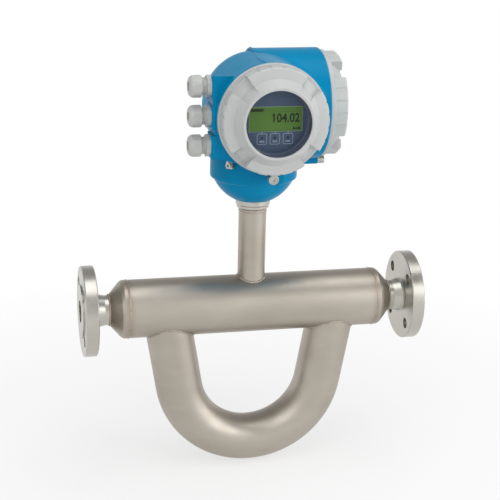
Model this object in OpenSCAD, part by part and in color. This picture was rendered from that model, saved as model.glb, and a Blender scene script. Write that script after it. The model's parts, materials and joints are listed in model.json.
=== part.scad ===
// Coriolis mass flow meter with a compact transmitter, flanged for a 25 mm pipeline.
// Millimetres. The inlet flange's sealing face is at x = 0, the pipe axis runs along +X and the
// transmitter stands above the pipe (+Z) with its display facing -Y.

/* [Pipeline] */
// Distance between the two sealing faces
face_to_face = 440; // [430:1:460]
// Flange diameter
flange_d = 115; // [110:1:120]
// Flange thickness, raised face included
flange_t = 18; // [16:1:20]
// Diameter of the raised sealing face
raised_face_d = 68; // [60:1:70]
// Bolt circle diameter
bolt_circle_d = 85; // [82:1:88]
// Bolt hole diameter
bolt_hole_d = 14; // [11:1:15]
// Bore diameter of the pipeline
pipe_bore_d = 28.5; // [26:0.5:29]

/* [Sensor casing] */
// Diameter of the straight casing tube
casing_d = 74.4; // [72:0.2:78]
// Wall of the casing tubes
casing_wall = 2; // [1.5:0.1:2.5]
// Diameter of the bent loop casing
loop_d = 60.4; // [56:0.2:62]
// Bend radius of the loop casing, to its centre line
loop_bend_r = 94.4; // [88:0.2:98]
// Depth of the bend's centre below the pipe axis
loop_depth = 93.6; // [88:0.2:98]
// Lean of each leg towards the middle, in degrees
leg_lean = 9.8; // [8:0.1:11]
// Diameter of the neck tube
neck_d = 35; // [33:0.5:37]
// Height of the neck's top above the pipe axis
neck_top = 140; // [134:1:150]

/* [Measuring tubes] */
// Outer diameter of a measuring tube
tube_d = 17.4; // [16:0.2:18]
// Wall of a measuring tube
tube_wall = 1.45; // [1:0.05:2]
// Distance between the two tubes' centre lines
tube_pitch = 25; // [24:0.5:27]

/* [Transmitter] */
// Height of the barrel axes above the pipe axis
barrel_z = 260; // [258:1:264]
// Radius of the barrel behind the display
front_barrel_r = 66.6; // [66.4:0.2:68.4]
// Radius of the barrel behind the side cover
side_barrel_r = 69; // [68.8:0.2:71]
// Distance from the neck axis to the front rim
front_rim = 90; // [88:1:92]
// Distance from the neck axis to the side rim
side_rim = 79.5; // [77:0.5:81]
// Wall of the housing
housing_wall = 6; // [5:0.5:7]
// Radius of the round trunk under the barrels
trunk_r = 54.6; // [53:0.2:56]

/* [Covers] */
// Radius of a cover's flange ring
cover_ring_r = 66.4; // [65:0.2:67]
// Radius over the grip lobes
cover_lobe_r = 64.4; // [63:0.2:65]
// Angle that a notch between two lobes takes, in degrees
notch_angle = 22; // [18:1:30]
// Radius of the window opening
window_r = 39.4; // [36:0.2:40]

/* [Cable glands] */
// Distance between two gland axes
gland_pitch = 35.6; // [34:0.2:37]
// Width across the flats of the gland's hexagons
gland_flats = 25; // [24:0.5:27]

/* [Hidden] */
$fn = 96;
eps = 0.5;                               // overshoot of a cutting tool
seat = 0.3;                              // how far a welded end sinks into its neighbour
run_gap = 0.05;                          // radial clearance of a running fit

// Pipeline and casing
mid_x = face_to_face / 2;                // neck axis
pipe_r = pipe_bore_d / 2;
casing_r = casing_d / 2;
casing_in_r = casing_r - casing_wall;
raised_h = 2;
hub_r = 19.2;                            // weld end of the flange's neck
hub_root_r = 21.5;
hub_end = 36;                            // weld between flange and reducer
reducer_shoulder = 52;
reducer_end = 59;
splitter_face = 44;                      // where the splitter seats in the reducer
splitter_r = 24;
splitter_end = 66;
socket_start = 58;                       // bottom of the tube sockets
loop_r = loop_d / 2;
loop_in_r = loop_r - casing_wall;
leg_top_dx = loop_bend_r * cos(leg_lean) + tan(leg_lean) * (loop_depth + loop_bend_r * sin(leg_lean));
neck_r = neck_d / 2;
neck_in_r = neck_r - casing_wall;
collar_r = 21.8;
collar_h = 13;
collar_foot = neck_top - collar_h;
spigot_r = 19;
spigot_top = neck_top + 24;
floor_z = neck_top + 16;                 // floor of the housing round the spigot
groove_h = 2;

// Measuring tubes
tube_r = tube_d / 2;
tube_in_r = tube_r - tube_wall;
tube_y = tube_pitch / 2;
elbow_r = 30;
bend_slack = 0.02;
elbow_turn = 90 - leg_lean;
elbow_run = elbow_r * tan(elbow_turn / 2);
leg_length = (loop_depth + loop_bend_r * sin(leg_lean)) / cos(leg_lean);

// Transmitter
neck_gap = 0.05;                         // axial play of the swivel
dome_y = -4;                             // centre of the dome behind the display
bowl_r = 55.2;
bowl_z = neck_top + 49.4;
bowl_cut = bowl_z - 22.5;
trunk_z = bowl_z - 20;
trunk_top = barrel_z - 20;
thread_r = 60;                           // mouth of each compartment
thread_depth = 17;
side_thread_depth = 13;
chamber_r = 57.5;
chamber_floor = 50;                      // back of the display compartment, from the neck axis
wall_plane = chamber_floor - 4;          // the other face of the partition
side_chamber_r = 62.5;
gland_y = -62;
gland_face = -69.6;
pad_half = 14.2;
pad_depth = 31;
pad_bevel = 22;                          // slope of the top pad's upper face, in degrees
gland_count = 3;
gland_drop = 0.6;                        // middle gland below the barrel axes
step_left = -4;                          // left end of the side barrel
lug_r = 9.5;
lug_len = 38;
lug_step = 1;
lug_shift = 5.5;
lug_z = -72.7;                           // below the barrel axes
front_clamp_r = 6.1;
front_clamp_l = 10;
front_clamp_y = -88;
front_clamp_x = 2;
side_clamp_r = 5;
side_clamp_l = 9;
side_clamp_x = 82;
clamp_thread_r = 2.5;
lock_r = 3;
lock_len = 24;
lock_z = neck_top + 9;
ground_angle = 42.5;                     // left of the display's direction
ground_z = 194;
ground_seat = 55.4;
ground_thread_r = 2.5;

// Covers, measured along the cover's own axis from the rim that it closes
ring_t = 6;
lobe_top = 22;
lobe_in_r = 51.5;
spigot_len = 14;
side_spigot_len = 12;
cover_spigot_r = thread_r - 2 * run_gap;
lid_face = 20.5;                         // outer face of the blind cover
bezel_root = 24;
bezel_top = 35;
bezel_r = 43.2;
lip_in = 33;                             // back of the window's lip
glass_r = 41.4;
glass_t = 5;
gasket_t = 0.8;
glass_in = lip_in - gasket_t - glass_t;
retainer_r = 44;
retainer_l = 9;
oring_r = 1.45;
oring_u = -3.2;
rib_groove_r = 2.4;
rib_depth = 1.1;                         // depth of a grip groove in a lobe's outer face
ribs_per_lobe = 4;
side_cover_turn = 5;                     // how far past its mark the blind cover is tightened, in degrees

// Display
display_back = front_rim - 6;
display_front = front_rim + 17;
display_r = 42;
foil_t = 0.8;
pivot_r = 20;
holder_r = 52.5;
lcd_w = 66;
lcd_h = 30;
lcd_dz = 3;

// Glands
gland_hex_t = 5.2;
gland_neck_t = 5.8;
gland_nut_l = 15.2;
gland_thread_r = 10;
gland_bore_r = 7;
gland_stem = 12;                         // thread inside the housing wall
nut_corner_r = 13.4;
seal_bore_r = 5;
nut_mouth_r = 5.6;
nut_start = gland_hex_t + gland_neck_t;
seal_start = nut_start + 1.5;
seal_l = 9;

// ---------- Helpers ----------

// Turns a shape modelled about Z so that it lies along +X.
module along_x() { rotate([0, 90, 0]) children(); }

// Turns a shape modelled about Z so that it points to -Y.
module along_front() { rotate([90, 0, 0]) children(); }

// The same shape at the inlet and, mirrored, at the outlet.
module at_outlet() { translate([face_to_face, 0, 0]) mirror([1, 0, 0]) children(); }

// Frame of the transmitter: neck axis and barrel height.
module at_barrels() { translate([mid_x, 0, barrel_z]) children(); }

module tube(r, r_in, h) {
    difference() {
        cylinder(r = r, h = h);
        translate([0, 0, -eps]) cylinder(r = r_in, h = h + 2 * eps);
    }
}

module ring_seal(major, minor) { rotate_extrude() translate([major, 0]) circle(r = minor, $fn = 24); }

// Puts its children in a leg's frame: origin on the leg's centre line, Z down along the leg.
module on_legs(distance) {
    for (side = [0, 1]) translate([mid_x, 0, 0]) mirror([side, 0, 0])
        translate([-leg_top_dx, 0, 0]) rotate([0, 180 - leg_lean, 0]) translate([0, 0, distance]) children();
}

function gland_z(i) = (1 - i) * gland_pitch - gland_drop;

// ---------- Pipeline connections ----------

module flange_body() {
    along_x() difference() {
        rotate_extrude() polygon([
            [pipe_r, 0], [raised_face_d / 2, 0], [raised_face_d / 2, raised_h],
            [flange_d / 2 - 1, raised_h], [flange_d / 2, raised_h + 1],
            [flange_d / 2, flange_t - 1], [flange_d / 2 - 1, flange_t],
            [hub_root_r + 2, flange_t], [hub_root_r, flange_t + 2],
            [hub_r, hub_end - 6], [hub_r, hub_end], [pipe_r, hub_end]]);
        for (a = [45 : 90 : 315]) rotate([0, 0, a]) translate([bolt_circle_d / 2, 0, -eps])
            cylinder(d = bolt_hole_d, h = flange_t + 2 * eps);
    }
}

module inlet_flange() { color([0.78, 0.77, 0.74]) flange_body(); }

module outlet_flange() { color([0.78, 0.77, 0.74]) at_outlet() flange_body(); }

module reducer_body() {
    along_x() rotate_extrude() polygon([
        [pipe_r, hub_end], [hub_r, hub_end], [casing_r - 2, reducer_shoulder - 2],
        [casing_r, reducer_shoulder + 1.5], [casing_r, reducer_end], [casing_in_r, reducer_end],
        [casing_in_r, reducer_shoulder + 2], [splitter_r + 2, splitter_face],
        [pipe_r, splitter_face]]);
}

module inlet_reducer() { color([0.66, 0.64, 0.6]) reducer_body(); }

module outlet_reducer() { color([0.66, 0.64, 0.6]) at_outlet() reducer_body(); }

// ---------- Casing ----------

// The bend at the bottom of the loop, for the casing and for the tubes in it.
module loop_bend(r) {
    translate([mid_x, 0, -loop_depth]) rotate([90, 0, 0]) rotate([0, 0, 180 + leg_lean])
        rotate_extrude(angle = 180 - 2 * leg_lean) translate([loop_bend_r, 0]) circle(r = r);
}

// Follows the loop from the pipe axis at the left, round the bend and back up at the right. Each leg
// reaches a little into the bend, whose wall is thinner by the slack at both surfaces.
module loop_sweep(r, slack) {
    on_legs(0) cylinder(r = r, h = leg_length + seat);
    loop_bend(r + slack);
}

module main_casing() {
    color([0.68, 0.66, 0.62]) difference() {
        translate([reducer_end, 0, 0]) along_x() tube(casing_r, casing_in_r, face_to_face - 2 * reducer_end);
        on_legs(0) cylinder(r = loop_in_r, h = 60);
        translate([mid_x, 0, 0]) cylinder(r = neck_in_r, h = casing_r + eps);
    }
}

module loop_casing() {
    color([0.67, 0.65, 0.61]) difference() {
        loop_sweep(loop_r, -bend_slack);
        loop_sweep(loop_in_r, bend_slack);
        along_x() cylinder(r = casing_r - seat, h = face_to_face);
    }
}

module neck_tube() {
    color([0.66, 0.63, 0.58]) difference() {
        translate([mid_x, 0, 0]) tube(neck_r, neck_in_r, collar_foot);
        along_x() cylinder(r = casing_r - seat, h = face_to_face);
    }
}

// Turned head of the neck: collar, and the spigot that the transmitter turns on.
module neck_collar() {
    color([0.72, 0.7, 0.66]) translate([mid_x, 0, 0]) rotate_extrude() polygon([
        [neck_in_r, collar_foot], [neck_r, collar_foot], [collar_r - 1.2, collar_foot + 2.4],
        [collar_r - 1.2, collar_foot + 5.4], [collar_r, collar_foot + 6.6],
        [collar_r, neck_top - 0.8], [collar_r - 0.8, neck_top], [spigot_r, neck_top],
        [spigot_r, floor_z + 0.2], [spigot_r - 1.5, floor_z + 0.2],
        [spigot_r - 1.5, floor_z + 0.2 + groove_h], [spigot_r, floor_z + 0.2 + groove_h],
        [spigot_r, spigot_top], [neck_in_r, spigot_top]]);
}

// ---------- Flow path inside ----------

module splitter_body() {
    slant = atan2(tube_y - 6.9, socket_start - splitter_face);
    difference() {
        along_x() rotate_extrude() polygon([
            [0, splitter_face], [splitter_r, splitter_face], [splitter_r, splitter_end - 4],
            [casing_in_r - 0.2, splitter_end - 4], [casing_in_r - 0.2, splitter_end], [0, splitter_end]]);
        for (s = [-1, 1]) {
            translate([splitter_face, s * 6.9, 0]) rotate([0, 0, s * slant])
                translate([-8, 0, 0]) along_x()
                    cylinder(r = tube_in_r, h = socket_start - splitter_face + 9.5);
            translate([socket_start, s * tube_y, 0]) along_x() cylinder(r = tube_r + run_gap, h = 20);
        }
    }
}

module inlet_splitter() { color([0.7, 0.69, 0.67]) splitter_body(); }

module outlet_splitter() { color([0.7, 0.69, 0.67]) at_outlet() splitter_body(); }

// Half of a measuring tube's route: socket, elbow and leg. Each straight run reaches a little into
// its bends, whose wall is thinner by bend_slack at both surfaces.
module tube_half(r, slack) {
    start = mid_x - leg_top_dx - elbow_run;
    translate([socket_start, 0, 0]) along_x() cylinder(r = r, h = start - socket_start + seat);
    translate([start, 0, -elbow_r]) rotate([90, 0, 0]) rotate([0, 0, leg_lean])
        rotate_extrude(angle = elbow_turn) translate([elbow_r, 0]) circle(r = r + slack);
    translate([mid_x - leg_top_dx, 0, 0]) rotate([0, 180 - leg_lean, 0]) translate([0, 0, elbow_run - seat])
        cylinder(r = r, h = leg_length - elbow_run + 2 * seat);
}

module tube_sweep(r, slack) {
    for (side = [0, 1]) translate([mid_x, 0, 0]) mirror([side, 0, 0]) translate([-mid_x, 0, 0])
        tube_half(r, slack);
    loop_bend(r + slack);
}

module measuring_tube(side) {
    translate([0, side * tube_y, 0]) difference() {
        tube_sweep(tube_r, -bend_slack);
        tube_sweep(tube_in_r, bend_slack);
    }
}

module measuring_tube_front() { color([0.74, 0.73, 0.71]) measuring_tube(-1); }

module measuring_tube_rear() { color([0.74, 0.73, 0.71]) measuring_tube(1); }

module brace_plates() {
    color([0.6, 0.6, 0.6]) for (distance = [34, 52]) on_legs(distance) difference() {
        linear_extrude(height = 3) union() {
            square([24, tube_pitch], center = true);
            for (s = [-1, 1]) translate([0, s * tube_y]) circle(r = 12);
        }
        for (s = [-1, 1]) translate([0, s * tube_y, -eps]) cylinder(r = tube_r - run_gap, h = 3 + 2 * eps);
    }
}

// A coil on the front tube (side -1) or a magnet on the rear tube (side 1), with its bracket.
// Origin on the loop's centre line, +Z towards the inside of the bend.
module transducer(side, r, depth) {
    lift = 17.5;
    air_gap = 1.2;
    foot_z = tube_r - 0.2;
    upright_y = air_gap + depth - 1;
    foot_l = tube_y + 5 - upright_y;
    translate([0, side * air_gap, lift]) rotate([-side * 90, 0, 0]) cylinder(r = r, h = depth);
    translate([-5, side > 0 ? upright_y : -upright_y - 2, foot_z]) cube([10, 2, lift - foot_z + 3]);
    translate([-5, side > 0 ? upright_y : -upright_y - foot_l, foot_z]) cube([10, foot_l, 1.8]);
}

module at_bend_bottom() { translate([mid_x, 0, -loop_depth - loop_bend_r]) children(); }

module drive_coil() { color([0.72, 0.45, 0.2]) at_bend_bottom() transducer(-1, 8, 7); }

module drive_magnet() { color([0.35, 0.35, 0.37]) at_bend_bottom() transducer(1, 6.5, 7); }

module at_pickoffs() { on_legs(leg_length - 8) rotate([0, -90, 0]) children(); }

module pickoff_coils() { color([0.72, 0.45, 0.2]) at_pickoffs() transducer(-1, 6.5, 7); }

module pickoff_magnets() { color([0.35, 0.35, 0.37]) at_pickoffs() transducer(1, 5.5, 7); }

module temperature_sensor() {
    color([0.85, 0.85, 0.82]) translate([splitter_end + 4, -tube_y - 3, tube_r - 0.4]) cube([8, 6, 2.4]);
}

module neck_feedthrough() {
    color([0.3, 0.42, 0.36]) translate([mid_x, 0, collar_foot - 20]) difference() {
        cylinder(r = neck_in_r + run_gap, h = 8);
        for (a = [0 : 45 : 315]) rotate([0, 0, a]) translate([9, 0, -eps])
            cylinder(r = 0.8, h = 10, $fn = 24);
    }
}

// Retaining ring in the spigot's groove, which keeps the transmitter on its neck.
module swivel_ring() {
    color([0.45, 0.45, 0.47]) translate([mid_x, 0, floor_z + 0.3]) difference() {
        tube(spigot_r + 3, spigot_r - 1.4, groove_h - 0.2);
        translate([0, 0, -eps]) linear_extrude(height = 3) polygon([[0, 0], [40, 8], [40, -8]]);
    }
}

// ---------- Transmitter housing ----------

// Barrel behind the display, closed at the back by a dome.
module front_barrel() {
    barrel_l = front_rim + dome_y;
    translate([0, dome_y, 0]) along_front() rotate_extrude() union() {
        intersection() {
            circle(r = front_barrel_r, $fn = 128);
            translate([0, -front_barrel_r - 1]) square([front_barrel_r + 1, front_barrel_r + 1]);
        }
        polygon([[0, -1], [front_barrel_r, 0], [front_barrel_r - 0.2, barrel_l - 1.5],
            [front_barrel_r - 1.6, barrel_l], [0, barrel_l]]);
    }
}

module side_barrel() {
    translate([step_left, 0, 0]) along_x() rotate_extrude() polygon([
        [0, 0], [side_barrel_r - 1, 0], [side_barrel_r, 1], [side_barrel_r, side_rim - step_left - 1.5],
        [side_barrel_r - 1.5, side_rim - step_left], [0, side_rim - step_left]]);
}

// Upright block on the left of the front barrel, with rounded edges.
module gland_block(face, height) {
    edge = 4;
    x_in = -38;
    linear_extrude(height = height, center = true) union() {
        translate([face + edge, gland_y - pad_depth / 2]) square([x_in - face - edge, pad_depth]);
        translate([face, gland_y - pad_depth / 2 + edge]) square([edge + 1, pad_depth - 2 * edge]);
        for (s = [-1, 1]) translate([face + edge, gland_y + s * (pad_depth / 2 - edge)]) circle(r = edge);
    }
}

// Pads of the three cable glands, joined by lower webs. The top pad's upper face slopes down to the
// back.
module gland_pads() {
    difference() {
        for (i = [0 : gland_count - 1]) translate([0, 0, gland_z(i)]) gland_block(gland_face, 2 * pad_half);
        translate([-90, gland_y - pad_depth / 2 + 2, gland_z(0) + pad_half]) rotate([-pad_bevel, 0, 0])
            cube([70, 50, 30]);
    }
    translate([0, 0, gland_z(0.5)]) gland_block(gland_face + 0.8, gland_pitch);
    translate([0, 0, gland_z(1.5)]) gland_block(gland_face + 3.4, gland_pitch);
}

// Sloping foot that runs from the lowest pad into the trunk.
module pad_foot() {
    translate([0, gland_y + pad_depth / 2, 0]) rotate([90, 0, 0]) linear_extrude(height = pad_depth)
        polygon([[gland_face + 1.5, gland_z(2) - pad_half + 2], [-38, gland_z(2)],
            [-30, gland_z(2) - 10], [-36, -57]]);
}

module base_bowl() {
    difference() {
        intersection() {
            sphere(r = bowl_r, $fn = 128);
            translate([0, 0, -bowl_r]) cylinder(r = bowl_r, h = bowl_r - 20.5);
        }
        translate([0, 0, -bowl_r - 1]) cylinder(r = bowl_r, h = 1 + bowl_r - (bowl_z - neck_top) + neck_gap);
    }
}

// Lug that carries a clamp, with a boss for the clamp's seat.
module clamp_lug(r, shift, seat_r) {
    translate([shift, 0, -lug_len]) cylinder(r = r, h = lug_len - lug_step);
    translate([0, 0, 0.4 - lug_len]) cylinder(r = seat_r, h = lug_len - 0.4);
}

module housing_outside() {
    at_barrels() {
        front_barrel();
        side_barrel();
        gland_pads();
        pad_foot();
        at_front_clamp() clamp_lug(lug_r, lug_shift, front_clamp_r - 0.4);
        at_side_clamp() translate([0, 0, -lug_len]) cylinder(r = side_clamp_r + 0.6, h = lug_len);
    }
    translate([mid_x, 0, bowl_z]) base_bowl();
    translate([mid_x, 0, 0]) rotate_extrude() polygon([
        [0, bowl_cut - 1], [trunk_r - 5.4, bowl_cut - 1], [trunk_r - 0.4, trunk_z],
        [trunk_r, trunk_z + 1.5], [trunk_r, trunk_top], [0, trunk_top]]);
    at_ground() translate([0, 0, -14]) cylinder(r = 6.6, h = 14);
    at_lock_screw() translate([0, 0, 4]) cylinder(r = 6.5, h = lock_len - 9);
}

// Space behind the partition: electronics, open to the side cover and down to the neck.
module side_chamber() {
    intersection() {
        union() {
            along_x() cylinder(r = side_chamber_r, h = side_rim - side_thread_depth + 1);
            rotate([0, 90, 60]) sphere(r = side_chamber_r - 1, $fn = 96);
        }
        translate([-80, -wall_plane, -80]) cube([160, 160, 160]);
    }
    translate([side_rim - side_thread_depth, 0, 0]) along_x()
        cylinder(r = thread_r, h = side_thread_depth + eps);
}

module housing_inside() {
    at_barrels() {
        translate([0, -chamber_floor, 0]) along_front()
            cylinder(r = chamber_r, h = front_rim - chamber_floor);
        translate([0, -front_rim + thread_depth, 0]) along_front()
            cylinder(r = thread_r, h = thread_depth + eps);
        side_chamber();
        for (i = [0 : gland_count - 1]) translate([gland_face - eps, gland_y, gland_z(i)])
            along_x() cylinder(r = gland_thread_r, h = 37);
        at_front_clamp() translate([0, 0, -12]) cylinder(r = clamp_thread_r + run_gap, h = 12 + eps);
        at_side_clamp() translate([0, 0, -12]) cylinder(r = clamp_thread_r + run_gap, h = 12 + eps);
    }
    translate([mid_x, 0, floor_z]) cylinder(r = 26, h = 20);
    translate([mid_x, 0, floor_z + 18]) cylinder(r = trunk_r - housing_wall - 2, h = 36);
    translate([mid_x, 0, neck_top - 1]) cylinder(r = spigot_r + run_gap, h = 20);
    at_lock_screw() translate([0, 0, -2]) cylinder(r = lock_r + run_gap, h = lock_len + 4);
    at_ground() translate([0, 0, -9]) cylinder(r = ground_thread_r + run_gap, h = 9 + eps);
}

module transmitter_housing() {
    color([0.1, 0.53, 0.75]) difference() {
        housing_outside();
        housing_inside();
    }
}

// Frames of the small fixings. Each has +Z pointing out of the housing.
module at_front_clamp() {
    translate([front_clamp_x, front_clamp_y, lug_z]) along_front() children();
}

module at_side_clamp() { translate([side_clamp_x, 0, lug_z]) along_x() children(); }

module at_lock_screw() {
    translate([mid_x, spigot_r + 0.3, lock_z]) rotate([-90, 0, 0]) children();
}

module at_ground() {
    translate([mid_x, 0, ground_z]) rotate([0, 0, -90 - ground_angle]) translate([ground_seat, 0, 0])
        along_x() children();
}

// ---------- Small fixings ----------

module socket_screw(head_r, head_h, shank_r, shank_l) {
    difference() {
        union() {
            cylinder(r = head_r, h = head_h);
            translate([0, 0, -shank_l]) cylinder(r = shank_r, h = shank_l + eps);
        }
        translate([0, 0, head_h - 2.4]) cylinder(r = head_r * 0.58, h = 3, $fn = 6);
    }
}

module clamp_claw(r, l) {
    rotate_extrude() polygon([
        [clamp_thread_r + run_gap, 0], [r, 0], [r, l - 0.6], [r - 0.6, l], [r - 1.6, l],
        [r - 1.6, l - 4], [clamp_thread_r + run_gap, l - 4]]);
}

module clamp_screw(r, l) {
    translate([0, 0, l - 4]) socket_screw(r - 1.8, 3.6, clamp_thread_r, l + 6);
}

module front_clamp() {
    color([0.72, 0.71, 0.69]) at_barrels() at_front_clamp() clamp_claw(front_clamp_r, front_clamp_l);
}

module front_clamp_screw() {
    color([0.55, 0.54, 0.52]) at_barrels() at_front_clamp() clamp_screw(front_clamp_r, front_clamp_l);
}

module side_clamp() {
    color([0.72, 0.71, 0.69]) at_barrels() at_side_clamp() clamp_claw(side_clamp_r, side_clamp_l);
}

module side_clamp_screw() {
    color([0.55, 0.54, 0.52]) at_barrels() at_side_clamp() clamp_screw(side_clamp_r, side_clamp_l);
}

module swivel_lock_screw() {
    color([0.55, 0.54, 0.52]) at_lock_screw() translate([0, 0, lock_len - 4])
        socket_screw(lock_r - 0.1, 3.5, lock_r - 0.1, lock_len - 4);
}

// Stainless terminal for an earth wire: a base, a slot for the wire and a clamping plate.
module ground_terminal() {
    color([0.72, 0.71, 0.69]) at_ground() difference() {
        union() {
            translate([-4.4, -4.4, 0]) cube([8.8, 8.8, 2]);
            translate([-4.4, -4.4, 1.8]) cube([8.8, 1.6, 3.2]);
            translate([-4.4, -4.4, 4]) cube([8.8, 8.8, 1.6]);
        }
        translate([0, 0, -eps]) cylinder(r = ground_thread_r + run_gap, h = 8);
    }
}

module ground_screw() {
    color([0.6, 0.59, 0.57]) at_ground() translate([0, 0, 5.6]) socket_screw(3.6, 2.8, ground_thread_r, 13);
}

// ---------- Transmitter electronics ----------

module electronics_module() {
    box_y = 78;
    color([0.16, 0.17, 0.19]) at_barrels() union() {
        translate([-14, -wall_plane, -34]) cube([54, box_y, 68]);
        translate([39, -wall_plane + 6, -28]) cube([8, box_y - 12, 56]);
        for (dz = [-18, 0, 18]) translate([46, -20, dz - 5]) cube([7, 34, 10]);
    }
}

module terminal_block() {
    ways = 8;
    way_w = 7;
    color([0.2, 0.42, 0.27]) at_barrels() translate([-ways * way_w / 2, -chamber_floor, -13]) difference() {
        translate([0, -22, 0]) cube([ways * way_w, 22, 26]);
        translate([-eps, -22 - eps, 17]) cube([ways * way_w + 2 * eps, 9, 10]);
        for (i = [0 : ways - 1]) translate([(i + 0.5) * way_w, -22 - eps, 0]) {
            translate([0, 0, 11]) along_front() mirror([0, 0, 1]) cylinder(r = 2, h = 6, $fn = 24);
            translate([-2, 0, 2]) cube([4, 12, 5]);
        }
    }
}

module display_holder() {
    plate_t = 4;
    color([0.13, 0.14, 0.16]) at_barrels() union() {
        translate([0, -display_back + plate_t, 0]) along_front() difference() {
            cylinder(r = holder_r, h = plate_t);
            translate([0, 0, -eps]) cylinder(r = pivot_r + run_gap, h = plate_t + 2 * eps);
            for (a = [60 : 60 : 360]) rotate([0, 0, a]) translate([37, 0, -eps])
                cylinder(r = 9, h = plate_t + 1);
        }
        for (a = [40, -40, 100, -100]) rotate([0, -a, 0]) translate([48, -chamber_floor, 0])
            along_front() cylinder(r = 4, h = display_back - chamber_floor - plate_t + eps);
    }
}

module display_case() {
    color([0.16, 0.18, 0.22]) at_barrels() translate([0, -display_back - 0.2, 0]) along_front() difference() {
        union() {
            cylinder(r = display_r, h = display_front - display_back - foil_t - 0.2);
            translate([0, 0, -6]) cylinder(r = pivot_r, h = 7);
        }
        translate([-lcd_w / 2 - 0.1, lcd_dz - lcd_h / 2 - 0.1, display_front - display_back - foil_t - 5.2])
            cube([lcd_w + 0.2, lcd_h + 0.2, 8]);
    }
}

module display_panel() {
    color([0.24, 0.3, 0.41]) at_barrels() translate([0, foil_t - display_front, 0]) along_front()
        difference() {
            cylinder(r = display_r, h = foil_t);
            translate([-lcd_w / 2 + 1.4, lcd_dz - lcd_h / 2 + 0.8, -eps]) cube([lcd_w - 2.8, lcd_h - 1.6, 3]);
        }
}

module lcd() {
    color([0.31, 0.47, 0.18]) at_barrels() translate([-lcd_w / 2, foil_t - display_front, lcd_dz - lcd_h / 2])
        cube([lcd_w, 5, lcd_h]);
}

// ---------- Covers ----------

// Outline of a cover from its threaded spigot over the ring and lobes to the inner edge of the lobes.
function cover_outline(spigot) = [
    [54, -spigot], [cover_spigot_r, -spigot], [cover_spigot_r, oring_u - 1.7],
    [cover_spigot_r - 3, oring_u - 1.7], [cover_spigot_r - 3, oring_u + 1.7],
    [cover_spigot_r, oring_u + 1.7], [cover_spigot_r, 0], [cover_ring_r - 0.6, 0],
    [cover_ring_r, 0.6], [cover_ring_r, ring_t - 0.8], [cover_ring_r - 0.8, ring_t],
    [cover_lobe_r, ring_t], [cover_lobe_r, lobe_top - 2], [cover_lobe_r - 2, lobe_top],
    [lobe_in_r, lobe_top + 1.2]];

// Sector that is cut away between two lobes: its floor slopes from the bezel down to the ring.
module lobe_notch() {
    rotate([0, 0, -notch_angle / 2]) rotate_extrude(angle = notch_angle) polygon([
        [bezel_r + 1.4, bezel_top - 3.2], [lobe_in_r - 0.5, lid_face - 1], [lobe_in_r + 7, 12.5],
        [cover_lobe_r - 3, ring_t + 1.5], [cover_ring_r + 4, ring_t + 1.5],
        [cover_ring_r + 4, bezel_top + 3], [bezel_r + 1.4, bezel_top + 3]]);
}

module grip_cuts() {
    lobe_angle = 90 - notch_angle;
    step = lobe_angle / (ribs_per_lobe + 1);
    for (quarter = [0 : 90 : 270]) rotate([0, 0, quarter]) {
        rotate([0, 0, 45]) lobe_notch();
        for (i = [1 : ribs_per_lobe]) rotate([0, 0, i * step - lobe_angle / 2])
            translate([cover_lobe_r + rib_groove_r - rib_depth, 0, ring_t + 0.9])
                cylinder(r = rib_groove_r, h = lobe_top, $fn = 24);
    }
}

module window_cover_shell() {
    difference() {
        rotate_extrude() polygon(concat(cover_outline(spigot_len), [
            [lobe_in_r - 0.6, bezel_root], [bezel_r + 1, bezel_top - 2.5], [bezel_r, bezel_top - 0.8],
            [bezel_r - 0.8, bezel_top], [window_r + 0.5, bezel_top], [window_r, bezel_top - 0.5],
            [window_r, lip_in], [glass_r + 0.1, lip_in], [glass_r + 0.1, glass_in], [retainer_r, glass_in],
            [retainer_r, 16], [46, 14], [54, 8]]));
        grip_cuts();
    }
}

module blind_cover_shell() {
    difference() {
        rotate_extrude() polygon(concat(cover_outline(side_spigot_len), [
            [lobe_in_r - 1, lid_face], [lobe_in_r - 6, lid_face - 0.5], [0, lid_face - 0.5], [0, 14.5],
            [48, 14.5], [54, 8]]));
        grip_cuts();
    }
}

module on_front_rim() { at_barrels() translate([0, -front_rim, 0]) along_front() children(); }

module on_side_rim() { at_barrels() translate([side_rim, 0, 0]) along_x() children(); }

module display_cover() { color([0.78, 0.77, 0.74]) on_front_rim() window_cover_shell(); }

module side_cover() {
    color([0.78, 0.77, 0.74]) on_side_rim() rotate([0, 0, -side_cover_turn]) blind_cover_shell();
}

module window_glass() {
    color([0.7, 0.78, 0.8, 0.35]) on_front_rim() translate([0, 0, glass_in])
        cylinder(r = glass_r - 0.1, h = glass_t);
}

module window_gasket() {
    color([0.12, 0.12, 0.12]) on_front_rim() translate([0, 0, glass_in + glass_t])
        tube(glass_r - 0.1, window_r + 0.8, gasket_t);
}

module window_retainer() {
    color([0.2, 0.2, 0.21]) on_front_rim() translate([0, 0, glass_in - retainer_l]) difference() {
        tube(retainer_r - 0.1, window_r + 0.6, retainer_l);
        for (a = [0, 180]) rotate([0, 0, a]) translate([retainer_r, 0, -eps])
            cylinder(r = 2.2, h = 2.5, $fn = 24);
    }
}

module cover_oring() { translate([0, 0, oring_u]) ring_seal(cover_spigot_r - 3 + oring_r, oring_r); }

module display_cover_oring() { color([0.08, 0.08, 0.08]) on_front_rim() cover_oring(); }

module side_cover_oring() { color([0.08, 0.08, 0.08]) on_side_rim() cover_oring(); }

// ---------- Cable glands ----------

// Gland i counted from the top: origin on its axis at the housing's pad, +Z pointing out.
module at_gland(i) {
    at_barrels() translate([gland_face, gland_y, gland_z(i)]) rotate([0, -90, 0]) children();
}

module gland_hex(h) {
    intersection() {
        cylinder(r = gland_flats / sqrt(3), h = h, $fn = 6);
        cylinder(r = nut_corner_r, h = h);
    }
}

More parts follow.
